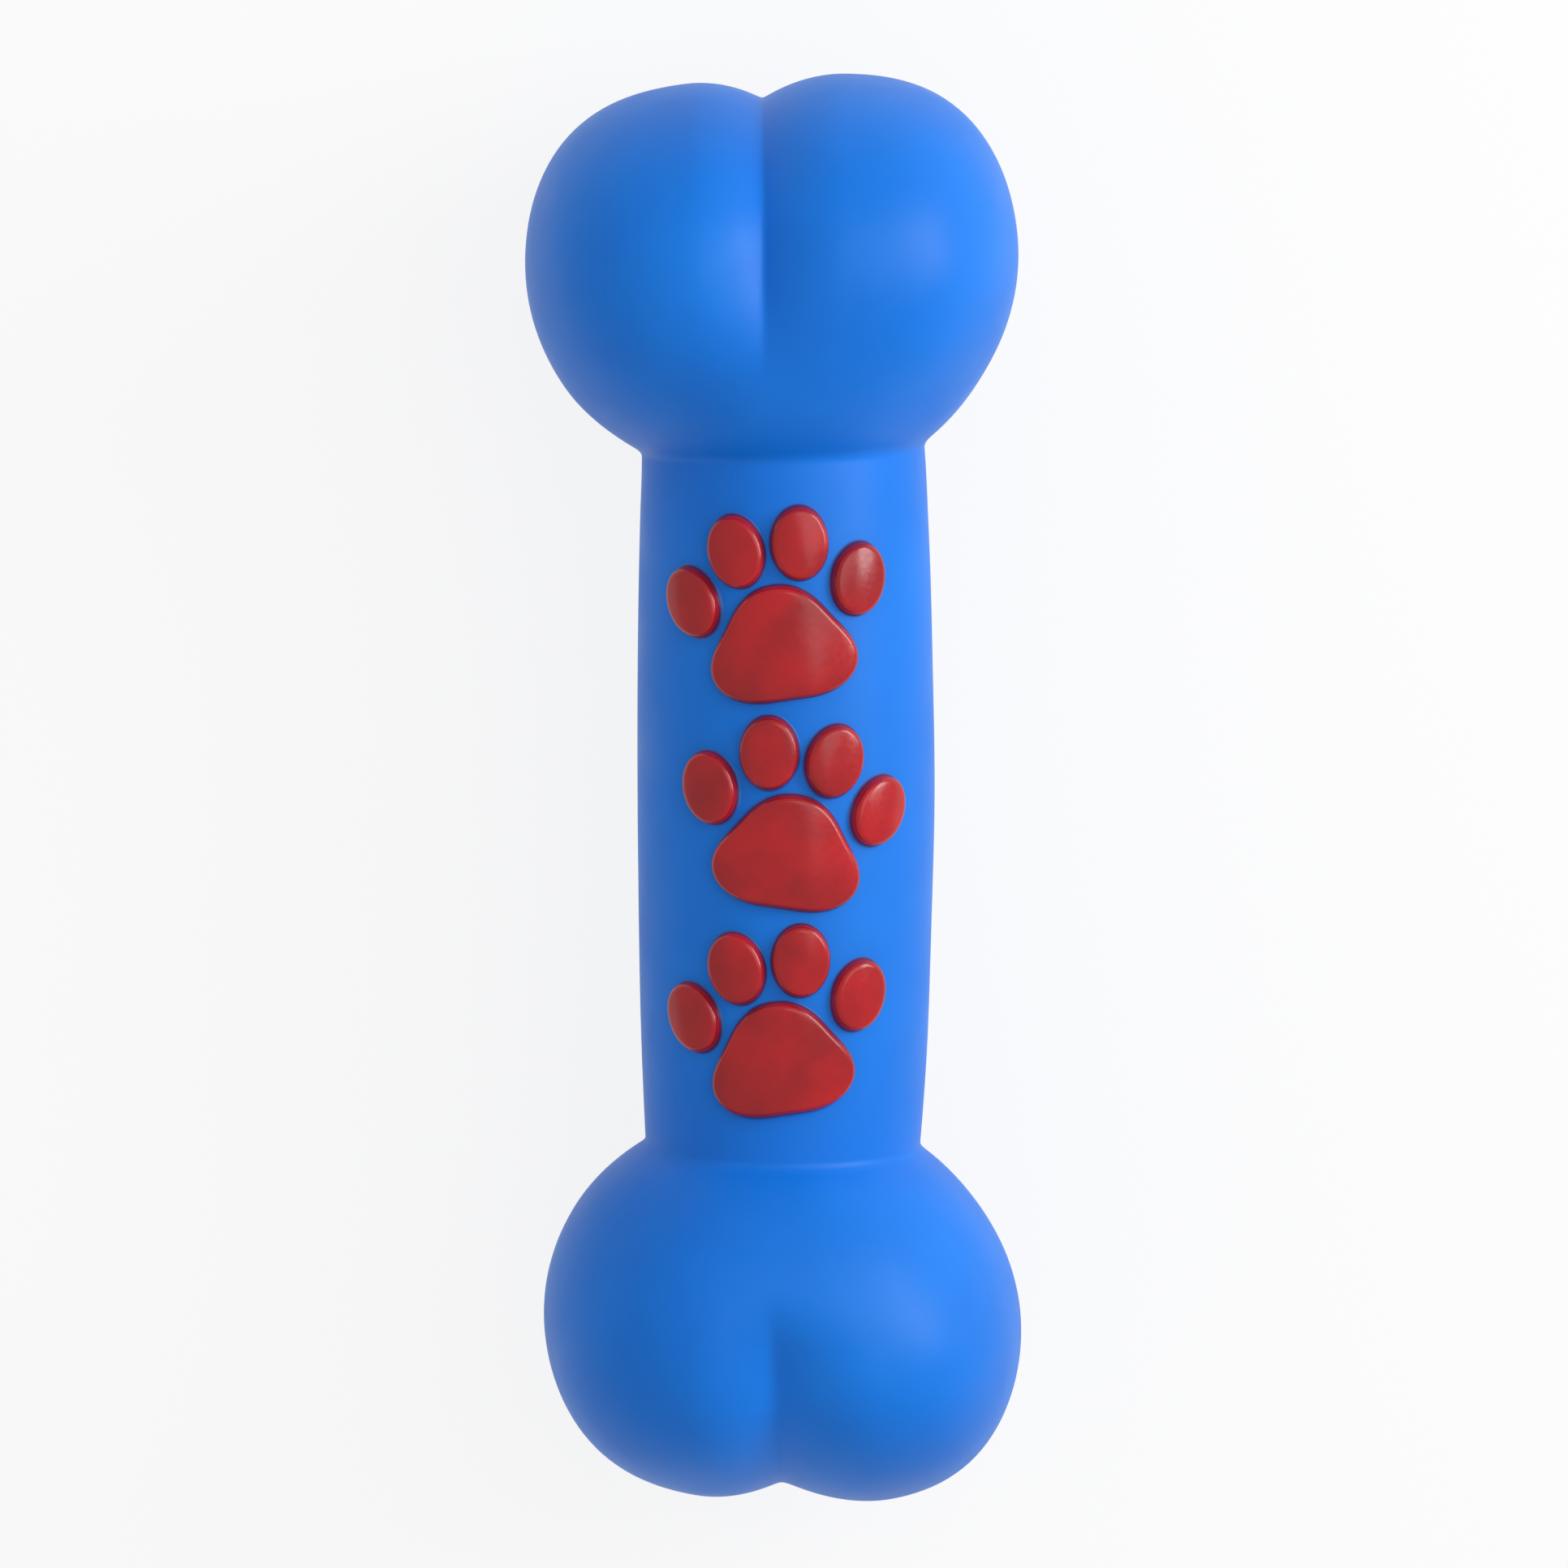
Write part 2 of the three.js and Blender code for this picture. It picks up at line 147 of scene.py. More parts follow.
vinyl, vinyl_shader = new_material("soft_pvc_rotomoulded")
vinyl_place = add_node(vinyl, "ShaderNodeTexCoord").outputs["Object"]
clouds = add_node(vinyl, "ShaderNodeTexNoise",
                  {"Vector": vinyl_place, "Scale": 1 / (CLOUD_SIZE * MM), "Detail": 3.0})
cloudy_blue = add_node(vinyl, "ShaderNodeValToRGB", {"Fac": clouds.outputs["Fac"]})
for stop, (position, shade) in zip(cloudy_blue.color_ramp.elements, VINYL_SHADES):
    stop.position = position
    stop.color = linear(shade)
sheen_patches = add_node(vinyl, "ShaderNodeTexNoise",
                         {"Vector": vinyl_place, "Scale": 1 / (SHEEN_PATCH_SIZE * MM), "Detail": 4.0})
satin = add_node(vinyl, "ShaderNodeMapRange",
                 {"Value": sheen_patches.outputs["Fac"], "From Min": NOISE_LOW, "From Max": NOISE_HIGH,
                  "To Min": VINYL_ROUGHNESS[0], "To Max": VINYL_ROUGHNESS[1]})
grain = add_node(vinyl, "ShaderNodeTexNoise",
                 {"Vector": vinyl_place, "Scale": 1 / (GRAIN_SIZE * MM), "Detail": 2.0})
grain_bump = add_node(vinyl, "ShaderNodeBump",
                      {"Height": grain.outputs["Fac"], "Strength": 0.12, "Distance": GRAIN_DEPTH * MM})
fill_inputs(vinyl, vinyl_shader, {
    "Base Color": cloudy_blue.outputs["Color"],
    "Roughness": satin.outputs["Result"],
    "Normal": grain_bump.outputs["Normal"],
    "IOR": VINYL_IOR,
    "Specular IOR Level": VINYL_SPECULAR_LEVEL,
})
print("vinyl:", len(vinyl.node_tree.nodes), "nodes")

# %% [markdown]
# ## The form of the bone
# Each knob is an oval ball, squarer across its two lobes and drawn together towards the neck like an
# egg, with a crease between the lobes. The shaft is a slight barrel. It could be sculpted, but a
# formula keeps the skin exactly where the solids are, so the lengths below are those of the part, and
# so is the way from one end to the other: rays out of a knob's centre on its end half, and rings
# across the axis from there on. Only the crease is drawn finer here: crisp on the far knob and softer
# on the near one.

# %% Lengths of the bone
BONE_LENGTH = 178
KNOB_HALF_DEPTH = 29.7
SHAFT_MID_RADIUS = 18.45
NECK_FILLET = 1.2
LEAN_RUN = 9
SHAFT_BOW = 0.35
LOBE_RUN = 24
CREASE_DEPTH = 3.3
TAIL_WIDTH = 0.75
CREASE_DRIFT = -1.8
NOTCH_SHARE = 0.75
SKIN_WALL = 2.6
REST_FLAT = 1
TANGENT_STEPS = 8


class Knob:
    """One end of the bone. The near knob is on side -1."""

    def __init__(self, side, width, squareness, end_reach, neck_reach, neck_radius, lean, skew,
                 crease_left, crease_right, crease_tail, crease_fade, softness):
        self.side = side
        self.half_width = width / 2
        self.squareness = squareness
        self.end_reach = end_reach
        self.neck_reach = neck_reach
        self.neck_radius = neck_radius
        self.lean = math.radians(lean)
        self.skew = skew
        self.crease_left = crease_left
        self.crease_right = crease_right
        self.crease_tail = crease_tail
        self.crease_fade = crease_fade
        self.softness = softness
        self.centre = BONE_LENGTH / 2 - end_reach
        self.neck_run = neck_reach * math.sqrt(1 - (neck_radius / self.half_width) ** 2)
        self.neck = self.centre - self.neck_run


FAR = Knob(side=1, width=60.9, squareness=3.6, end_reach=22.4, neck_reach=28.3, neck_radius=17.5,
           lean=3.3, skew=0.01, crease_left=9, crease_right=10, crease_tail=14, crease_fade=17,
           softness=0.35)
NEAR = Knob(side=-1, width=59.7, squareness=3.2, end_reach=22.1, neck_reach=27.6, neck_radius=17.15,
            lean=0, skew=-0.04, crease_left=10, crease_right=13, crease_tail=10, crease_fade=13,
            softness=0.8)
print(f"necks at {FAR.neck:.1f} and {-NEAR.neck:.1f} mm,",
      f"{FAR.neck + NEAR.neck:.1f} mm of shaft between")


# %% [markdown]
# Two curves come back again and again: a step with soft ends, and the larger of two lengths with its
# corner filled. The second is what a mould maker's fillet does, and rounds the neck where the knob
# meets the shaft.

# %% Curves that the form is made of
def smoothstep(low, high, value):
    """0 up to low, 1 from high on, and a soft step between."""
    share = np.clip((value - low) / (high - low), 0, 1)
    return share * share * (3 - 2 * share)


def filleted_max(a, b, fillet):
    """The larger of two lengths, with a fillet where they cross."""
    closeness = np.maximum(fillet - np.abs(a - b), 0) / fillet
    return np.maximum(a, b) + closeness * closeness * fillet / 4


def shaft_radius(y):
    """Radius of the shaft, thickest at mid length."""
    neck = np.where(y > 0, FAR.neck, NEAR.neck)
    neck_radius = np.where(y > 0, FAR.neck_radius, NEAR.neck_radius)
    share = np.minimum(np.abs(y) / neck, 1)
    return SHAFT_MID_RADIUS - (SHAFT_MID_RADIUS - neck_radius) * share * share


def oval_reach(across, rest, power):
    """Distance r at which (r * across) ** power + r * r * rest is 1, by tangent steps from outside."""
    reach = 1 / np.maximum(across, np.sqrt(rest))
    for _ in range(TANGENT_STEPS):
        side = (reach * across) ** power
        round_part = reach * reach * rest
        reach = reach - reach * (side + round_part - 1) / (power * side + 2 * round_part)
    return reach


def crease(end, x, v):
    """Depth of the crease at a point that is x across and v past the knob's centre."""
    along = smoothstep(-end.crease_tail, end.crease_fade - end.crease_tail, v)
    notch = 1 - (1 - NOTCH_SHARE) * smoothstep(end.end_reach / 2, end.end_reach, v)
    wander = CREASE_DRIFT * (end.end_reach - v) / (end.end_reach + end.crease_tail)
    flank = np.where(x < wander, end.crease_left, end.crease_right)
    flank = flank * (TAIL_WIDTH + (1 - TAIL_WIDTH) * along)
    off = np.hypot(x - wander, end.softness) - end.softness
    return CREASE_DEPTH * along * notch * np.maximum(1 - off / flank, 0) ** 2


# %% [markdown]
# A ring of the skin is a row of points at one place along the bone. Both crease and squeaker lie on
# the line x = 0, so the points of a ring are drawn closer together there and spread on the flanks,
# where the form is smooth.

# %% Rings of the skin
AROUND = 176
CROWDING = 0.65
steps_round = 2 * math.pi * np.arange(AROUND) / AROUND
TURNS = steps_round + CROWDING / 2 * np.sin(2 * steps_round)


def end_ring(end, inset, tilt):
    """Points of the end half of a knob, on rays at one tilt from its axis."""
    ray = np.stack([math.sin(tilt) * np.cos(TURNS), np.full(AROUND, math.cos(tilt)),
                    math.sin(tilt) * np.sin(TURNS)], axis=1)
    rest = (ray[:, 1] / (end.end_reach - inset)) ** 2 + (ray[:, 2] / (KNOB_HALF_DEPTH - inset)) ** 2
    reach = oval_reach(np.abs(ray[:, 0]) / (end.half_width - inset), rest, end.squareness)
    depth = crease(end, reach * ray[:, 0], reach * ray[:, 1])
    points = ray * (reach - depth)[:, None]
    points[:, 1] = end.side * (end.centre + points[:, 1])
    return points


def neck_ring(end, inset, run):
    """Points of the neck half of a knob or of the shaft, back from the knob's centre by run."""
    y = end.side * (end.centre - run)
    share = math.sqrt(1 - min(run / (end.neck_reach - inset), 1) ** 2)
    power = 2 + (end.squareness - 2) * smoothstep(-LOBE_RUN, 0, -run)
    across = np.abs(np.cos(TURNS)) / (end.half_width - inset)
    oval = share * oval_reach(across, (np.sin(TURNS) / (KNOB_HALF_DEPTH - inset)) ** 2, power)
    knob_radius = oval - crease(end, oval * np.cos(TURNS), -run)
    radius = filleted_max(knob_radius, shaft_radius(y) - inset, NECK_FILLET)
    return np.stack([radius * np.cos(TURNS), np.full(AROUND, y), radius * np.sin(TURNS)], axis=1)


def out_of_true(points):
    """The moulding is not quite straight: the shaft bows, and each knob leans and slants."""
    moved = np.array(points, float)
    for end in (FAR, NEAR):
        mine = (points[:, 1] > 0) == (end.side > 0)
        y = np.abs(points[mine, 1])
        leaning = smoothstep(-LEAN_RUN, LEAN_RUN, y - end.neck)
        angle = end.lean * leaning
        x = points[mine, 0]
        along = points[mine, 1] + end.skew * leaning * x - end.side * end.neck
        bow = SHAFT_BOW * np.minimum(y / end.neck, 1) ** 2
        moved[mine, 0] = x * np.cos(angle) - along * np.sin(angle) - bow
        moved[mine, 1] = x * np.sin(angle) + along * np.cos(angle) + end.side * end.neck
    return moved


# %% [markdown]
# ## The squeaker's seat
# Underneath, the squeaker's flange lies in a shallow round seat with a hole in its middle. A boolean
# cut would leave slivers along the seat's edge, and the satin would show them. So a square of the
# skin's grid is left open there, and closed rings run in from its edge: over the shaft, round the
# seat's rim, down its wall, across its floor, up through the hole and out over the thickened wall
# inside. The inner skin is made like the outer one, with longer steps where nobody sees it.

# %% Lengths of the seat
SEAT_RADIUS = 9.4
SEAT_LIP = 0.5
HOLE_RADIUS = 6.3
EDGE_ROUND = 0.2
SEAT_HALF_SQUARE = 14
SEAT_ROWS = 24
SEAT_COLUMNS = 66
FILLET_STEPS = 5
FIT_GAP = 0.3
FLANGE_RADIUS = 9
FLANGE_THICKNESS = 1.6
seat_floor = -math.sqrt(SHAFT_MID_RADIUS ** 2 - SEAT_RADIUS ** 2) + SEAT_LIP
seat_ceiling = seat_floor + SKIN_WALL
flange_top = seat_floor - FIT_GAP
flange_bottom = flange_top - FLANGE_THICKNESS
squeaker_low, squeaker_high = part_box("squeaker_case")
shaft_axis = np.array([
    (squeaker_low.x + squeaker_high.x) / 2 / MM,
    (squeaker_low.y + squeaker_high.y) / 2 / MM,
    squeaker_low.z / MM - flange_bottom,
])
print("the shaft's axis is at", shaft_axis.round(3), "mm")


# %% One wall of the skin, with a square left open for the seat
def wall_rings(inset, end_steps, neck_steps, shaft_steps):
    """Rings from the far tip to the near tip, and the first of the rings across the seat."""
    def knob_rings(end):
        rings = [end_ring(end, inset, math.pi / 2 * i / end_steps) for i in range(1, end_steps + 1)]
        for i in range(1, neck_steps + 1):
            rings.append(neck_ring(end, inset, end.neck_run * math.sin(math.pi / 2 * i / neck_steps)))
        for i in range(1, FILLET_STEPS + 1):
            rings.append(neck_ring(end, inset, end.neck_run + NECK_FILLET * i / FILLET_STEPS))
        return rings

    far_shaft = np.linspace(FAR.neck - NECK_FILLET, SEAT_HALF_SQUARE, shaft_steps + 1)[1:-1]
    across_seat = np.linspace(SEAT_HALF_SQUARE, -SEAT_HALF_SQUARE, SEAT_ROWS + 1)
    near_shaft = np.linspace(-SEAT_HALF_SQUARE, NECK_FILLET - NEAR.neck, shaft_steps + 1)[1:-1]
    rings = knob_rings(FAR)
    seat_start = len(rings) + len(far_shaft)
    for y in np.concatenate([far_shaft, across_seat, near_shaft]):
        end = FAR if y > 0 else NEAR
        rings.append(neck_ring(end, inset, end.centre - abs(y)))
    rings.extend(reversed(knob_rings(NEAR)))
    return rings, seat_start


def wall_faces(ring_count, seat_start, first):
    """Faces between the rings, fans at both tips, and the loop of points round the open square."""
    def point(ring, column):
        return first + 1 + ring * AROUND + column % AROUND

    last = first + 1 + ring_count * AROUND
    left = 3 * AROUND // 4 - SEAT_COLUMNS // 2
    right = left + SEAT_COLUMNS
    far_row, near_row = seat_start, seat_start + SEAT_ROWS
    faces = []
    for column in range(AROUND):
        faces.append((first, point(0, column), point(0, column + 1)))
        faces.append((last, point(ring_count - 1, column + 1), point(ring_count - 1, column)))
        for ring in range(ring_count - 1):
            if not (far_row <= ring < near_row and left <= column < right):
                faces.append((point(ring, column), point(ring + 1, column),
                              point(ring + 1, column + 1), point(ring, column + 1)))
    loop = [point(far_row, column) for column in range(left, right)]
    loop += [point(row, right) for row in range(far_row, near_row)]
    loop += [point(near_row, column) for column in range(right, left, -1)]
    loop += [point(row, left) for row in range(near_row, far_row, -1)]
    return faces, loop


# %% [markdown]
# The rings through the seat are written as a radius and a height at every angle. On the curved shaft
# the height follows the shaft, on the seat's floor it is level, and inside it is the larger of the
# hollow's own wall and the thickening over the seat.

# %% Rings through the seat
SKIRT_SHARES = (0.3, 0.55, 0.75, 0.9, 1)
QUARTER_TURN = np.radians([0, 22.5, 45, 67.5, 90])
FLOOR_RINGS = 4
BOSS_RADIUS = SEAT_RADIUS + SKIN_WALL
BOSS_SLOPE = 0.4
BOSS_FILLET = 0.5
CEILING_RADII = (7.5, 9, 10.2, BOSS_RADIUS - BOSS_SLOPE, BOSS_RADIUS, BOSS_RADIUS + BOSS_SLOPE)


def shaft_under(x, y, inset):
    """Height of the underside of the shaft's wall, at an inset from its outside."""
    return -np.sqrt(np.maximum((shaft_radius(y) - inset) ** 2 - x * x, 0))


def seat_rings(loop_points, inner_loop_points):
    """Closed rings from the open square of the outer wall to that of the inner wall."""
    radius = np.hypot(loop_points[:, 0], loop_points[:, 1])
    cos, sin = loop_points[:, 0] / radius, loop_points[:, 1] / radius
    rings = []

    def ring(r, height=None, rise=0.0):
        """A ring at a level height, or at a rise over the shaft's underside."""
        r = np.broadcast_to(r, radius.shape)
        if height is None:
            z = shaft_under(r * cos, r * sin, 0) + rise
        else:
            z = np.full(radius.shape, height)
        rings.append(np.stack([r * cos, r * sin, z], axis=1))

    rim = SEAT_RADIUS + EDGE_ROUND
    for share in SKIRT_SHARES:
        ring(radius + (rim - radius) * share)
    for angle in QUARTER_TURN[1:]:
        ring(SEAT_RADIUS + EDGE_ROUND * (1 - math.sin(angle)), rise=EDGE_ROUND * (1 - math.cos(angle)))
    for angle in QUARTER_TURN:
        ring(SEAT_RADIUS - EDGE_ROUND * (1 - math.cos(angle)),
             seat_floor - EDGE_ROUND * (1 - math.sin(angle)))
    for r in np.linspace(SEAT_RADIUS - EDGE_ROUND, HOLE_RADIUS + EDGE_ROUND, FLOOR_RINGS + 1)[1:]:
        ring(r, seat_floor)
    for angle in QUARTER_TURN[1:]:
        ring(HOLE_RADIUS + EDGE_ROUND * (1 - math.sin(angle)),
             seat_floor + EDGE_ROUND * (1 - math.cos(angle)))
    for angle in QUARTER_TURN:
        ring(HOLE_RADIUS + EDGE_ROUND * (1 - math.cos(angle)),
             seat_ceiling - EDGE_ROUND * (1 - math.sin(angle)))
    inner_radius = np.hypot(inner_loop_points[:, 0], inner_loop_points[:, 1])
    inner_cos = inner_loop_points[:, 0] / inner_radius
    inner_sin = inner_loop_points[:, 1] / inner_radius
    for r in CEILING_RADII:
        share = (r - HOLE_RADIUS) / (BOSS_RADIUS + BOSS_SLOPE - HOLE_RADIUS)
        x = r * (cos + (inner_cos - cos) * share)
        y = r * (sin + (inner_sin - sin) * share)
        drop = KNOB_HALF_DEPTH * smoothstep(-BOSS_SLOPE, BOSS_SLOPE, r - BOSS_RADIUS)
        z = filleted_max(shaft_under(x, y, SKIN_WALL), seat_ceiling - drop, BOSS_FILLET)
        rings.append(np.stack([x, y, z], axis=1))
    return rings


# %% [markdown]
# ## The skin
# The two walls and the rings between them are joined into one closed shell, and points that no face
# uses, inside the open squares, are dropped. The shell is then put out of true as the solid is.

# %% Join the skin's walls
def wall_points(inset, rings):
    """The points of one wall, from tip to tip."""
    tips = [end_ring(end, inset, 0.0)[:1] for end in (FAR, NEAR)]
    return np.concatenate([tips[0], *rings, tips[1]])


outer_rings, outer_seat = wall_rings(0, end_steps=44, neck_steps=34, shaft_steps=22)
inner_rings, inner_seat = wall_rings(SKIN_WALL, end_steps=16, neck_steps=12, shaft_steps=8)
outer_points = wall_points(0, outer_rings)
inner_points = wall_points(SKIN_WALL, inner_rings)
outer_faces, outer_loop = wall_faces(len(outer_rings), outer_seat, 0)
inner_faces, inner_loop = wall_faces(len(inner_rings), inner_seat, len(outer_points))
both_walls = np.concatenate([outer_points, inner_points])
between = seat_rings(both_walls[outer_loop], both_walls[inner_loop])
skin_points = np.concatenate([both_walls, *between])
skin_faces = outer_faces + inner_faces
loops = [outer_loop]
for i in range(len(between)):
    start = len(both_walls) + i * len(outer_loop)
    loops.append(list(range(start, start + len(outer_loop))))
loops.append(inner_loop)
for here, there in zip(loops, loops[1:]):
    for i in range(len(here)):
        after = (i + 1) % len(here)
        skin_faces.append((here[i], here[after], there[after], there[i]))
used = np.unique(np.concatenate([np.array(face) for face in skin_faces]))
renumbered = np.zeros(len(skin_points), int)
renumbered[used] = np.arange(len(used))
skin_faces = [tuple(int(i) for i in renumbered[list(face)]) for face in skin_faces]
is_outer = (np.arange(len(skin_points)) < len(outer_points))[used]
skin_points = out_of_true(skin_points[used])
print(len(skin_points), "points in the skin,", is_outer.sum(), "of them outside")

# %% [markdown]
# Soft vinyl shrinks a little unevenly as it cools, so its surface swells and sinks by a few hundredths
# of a millimetre over two or three centimetres. That is drawn in the mesh, because it is what makes
# the long highlights waver. Last, the skin is settled on the floor and moved to its place.

# %% Build the skin
WAVE_HEIGHT = 0.05
WAVE_SIZE = 24
WAVE_STRETCH = (0.8, 1.5)
WAVE_COUNT = 5
# The sum of so many waves is mostly within this.
WAVE_SUM = 2
WAVE_SEED = 7
FLOOR_FILLET = 0.6

waves = np.random.default_rng(WAVE_SEED)
swell = np.zeros(len(skin_points))
for _ in range(WAVE_COUNT):
    direction = waves.normal(size=3)
    direction *= 2 * math.pi / (WAVE_SIZE * waves.uniform(*WAVE_STRETCH) * np.linalg.norm(direction))
    swell += np.sin(skin_points @ direction + waves.uniform(0, 2 * math.pi))
outward = skin_points * [1, 0, 1]
outward /= np.maximum(np.linalg.norm(outward, axis=1), 1)[:, None]
skin_points += outward * (WAVE_HEIGHT * swell / WAVE_SUM * is_outer)[:, None]
floor_height = np.full(len(skin_points), REST_FLAT - KNOB_HALF_DEPTH)
skin_points[:, 2] = filleted_max(skin_points[:, 2], floor_height, FLOOR_FILLET)
skin = mesh_piece("vinyl_skin", skin_points + shaft_axis, skin_faces, vinyl)

# %% [markdown]
# When the bone is squeezed, the printed side of the shaft goes in and the knobs keep their shape. The
# blend follows height: the underside stays with the bone and the top goes with the pressed wall. Its
# weights are then faded out towards both knobs, so that the dent ends at the necks.

# %% The skin's bodies
DENT_LOW, DENT_HIGH = 16.5, 40
DENT_RUN = 14
PRINT_REACH = 39.5
NEARLY_ALL = 0.99

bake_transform(skin, "bone", "pressed_wall", start=(0, 0, DENT_LOW * MM), end=(0, 0, DENT_HIGH * MM))
weights = np.zeros(len(skin.data.vertices), np.float32)
skin.data.attributes["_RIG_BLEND"].data.foreach_get("value", weights)
along = np.array([vertex.co.y for vertex in skin.data.vertices]) / MM
weights *= 1 - smoothstep(PRINT_REACH, PRINT_REACH + DENT_RUN, np.abs(along))
skin.data.attributes["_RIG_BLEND"].data.foreach_set("value", weights)
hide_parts("bone_skin")
print(f"{(weights > NEARLY_ALL).sum()} of {len(weights)} points go with the pressed wall")

# %% [markdown]
# ## Red paint
# The raised prints are part of the same moulding, and get their colour afterwards: a vinyl paint is
# sprayed through a mask. It is a gloss with a slight orange peel, and mottled, because it lies thicker
# in some places than in others. At the foot of a print the paint thins out, and the blue under a thin
# red looks like dark plum with the satin of the vinyl. The plum is also painted shade: it stands for
# the shade where the print's side meets the skin. How thick the paint lies is kept on each point of
# the mesh, because it follows the print's own profile.

# %% Paint material
PAINT_SHADES = [(0.36, "#a00f17"), (0.62, "#be1119")]
# Blue under thin paint at a print's foot, turning to a plum that is partly painted shade where the print
# meets the skin.
THIN_PAINT_AND_SHADE_SHADES = [(0.0, VINYL_BLUE), (0.5, "#4a1f45")]
THIN_COVER, FULL_COVER = 0.45, 0.9
PAINT_IOR = 1.5
PAINT_SPECULAR_LEVEL = 0.55
PAINT_ROUGHNESS = (0.17, 0.27)
FOOT_ROUGHNESS = 0.5
PAINT_PATCH_SIZE = 8
PAINT_SPECK_SIZE = 0.6
ORANGE_PEEL_SIZE = 1.1
ORANGE_PEEL_DEPTH = 0.06

paint, paint_shader = new_material("vinyl_paint_sprayed")
paint_place = add_node(paint, "ShaderNodeTexCoord").outputs["Object"]
cover = add_node(paint, "ShaderNodeAttribute", attribute_name="paint_cover").outputs["Fac"]
patches = add_node(paint, "ShaderNodeTexNoise",
                   {"Vector": paint_place, "Scale": 1 / (PAINT_PATCH_SIZE * MM), "Detail": 5.0})
red = add_node(paint, "ShaderNodeValToRGB", {"Fac": patches.outputs["Fac"]})
# The foot's plum is partly painted shade at the base of each print.
plum_foot_and_shade = add_node(paint, "ShaderNodeValToRGB", {"Fac": cover})
for ramp, shades in ((red, PAINT_SHADES), (plum_foot_and_shade, THIN_PAINT_AND_SHADE_SHADES)):
    for stop, (position, shade) in zip(ramp.color_ramp.elements, shades):
        stop.position = position
        stop.color = linear(shade)
thick = add_node(paint, "ShaderNodeMapRange",
                 {"Value": cover, "From Min": THIN_COVER, "From Max": FULL_COVER}).outputs["Result"]
# Inputs 0, 6 and 7 of a mix of colours are its factor and its two colours, and output 2 is the result.
paint_colour = add_node(paint, "ShaderNodeMix",
                        {0: thick, 6: plum_foot_and_shade.outputs["Color"], 7: red.outputs["Color"]}, data_type="RGBA")
specks = add_node(paint, "ShaderNodeTexNoise",
                  {"Vector": paint_place, "Scale": 1 / (PAINT_SPECK_SIZE * MM), "Detail": 3.0})
paint_gloss = add_node(paint, "ShaderNodeMapRange",
                       {"Value": specks.outputs["Fac"], "From Min": NOISE_LOW, "From Max": NOISE_HIGH,
                        "To Min": PAINT_ROUGHNESS[0], "To Max": PAINT_ROUGHNESS[1]})
finish = add_node(paint, "ShaderNodeMix",
                  {"Factor": thick, "A": FOOT_ROUGHNESS, "B": paint_gloss.outputs["Result"]})
peel = add_node(paint, "ShaderNodeTexNoise",
                {"Vector": paint_place, "Scale": 1 / (ORANGE_PEEL_SIZE * MM), "Detail": 2.0})
peel_bump = add_node(paint, "ShaderNodeBump",
                     {"Height": peel.outputs["Fac"], "Strength": 0.3,
                      "Distance": ORANGE_PEEL_DEPTH * MM})
fill_inputs(paint, paint_shader, {
    "Base Color": paint_colour.outputs[2],
    "Roughness": finish.outputs["Result"],
    "Normal": peel_bump.outputs["Normal"],
    "IOR": PAINT_IOR,
    "Specular IOR Level": PAINT_SPECULAR_LEVEL,
})
print("paint:", len(paint.node_tree.nodes), "nodes")

# %% [markdown]
# ## The raised prints
# A print is a three-cornered pad with four toes over it. Each is a low plateau on the curve of the
# shaft, with a rounded top edge, a steep side and a small flare at its foot where the moulding runs
# out into the skin. It could be a flat shape that is extruded and bevelled, but then it would have to
# be bent round the shaft. Here rings of points run in from the foot to the middle, each at its own
# height over the shaft, so the pad is curved from the start. The print's plan is in millimetres:
# across is measured along the curve.

# %% Profile and plan of a print
PRINT_LENGTH, PRINT_WIDTH, PRINT_SPACING = 24, 28, 1.8
PRINT_MARGIN, PRINT_STAGGER, PRINT_TURN = 4.4, 1, 8
PRINT_HEIGHT, PRINT_EDGE, PRINT_CROWN = 1.5, 0.8, 0.15
PAD_CORNERS, PAD_CORNER_REACH = 3, 0.12
PAD_POINTS, TOE_POINTS = 112, 80
TOE_HALF_SIZE = (0.25, 0.37)
# Name, centre and half size as shares of half a print, turn in degrees, how far the three corners
# reach out, and points round it.
PAD_PLAN = ("pad", (0, -0.42), (0.62, 0.58), 0, PAD_CORNER_REACH, PAD_POINTS)
TOE_PLANS = [
    ("toe_outer_left", (-0.78, 0.16), TOE_HALF_SIZE, 22, 0, TOE_POINTS),
    ("toe_inner_left", (-0.29, 0.63), TOE_HALF_SIZE, 7, 0, TOE_POINTS),
    ("toe_inner_right", (0.29, 0.63), TOE_HALF_SIZE, -7, 0, TOE_POINTS),
    ("toe_outer_right", (0.78, 0.16), TOE_HALF_SIZE, -22, 0, TOE_POINTS),
]
# Steps in from the outline, height over the skin, and how thick the paint lies there, which also places the
# painted plum shade at the foot.
FOOT_PROFILE = [(-0.6, -0.15, 0.0), (-0.42, -0.03, 0.08), (-0.26, 0.07, 0.3),
                (-0.13, 0.2, 0.5), (-0.04, 0.4, 0.72), (0, 0.6, 0.95)]
EDGE_STEPS = 6
TOP_STEPS = 9


def turned(spots, degrees):
    """Spots of a plan, turned about its origin."""
    c, s = math.cos(math.radians(degrees)), math.sin(math.radians(degrees))
    return np.stack([spots[:, 0] * c - spots[:, 1] * s, spots[:, 0] * s + spots[:, 1] * c], axis=1)


def pad_profile():
    """(step in, height, paint) from the foot to the top edge."""
    profile = list(FOOT_PROFILE)
    for i in range(1, EDGE_STEPS + 1):
        angle = math.pi / 2 * i / EDGE_STEPS
        step = PRINT_EDGE * (1 - math.cos(angle))
        profile.append((step, PRINT_HEIGHT - PRINT_EDGE * (1 - math.sin(angle)), 1.0))
    return profile


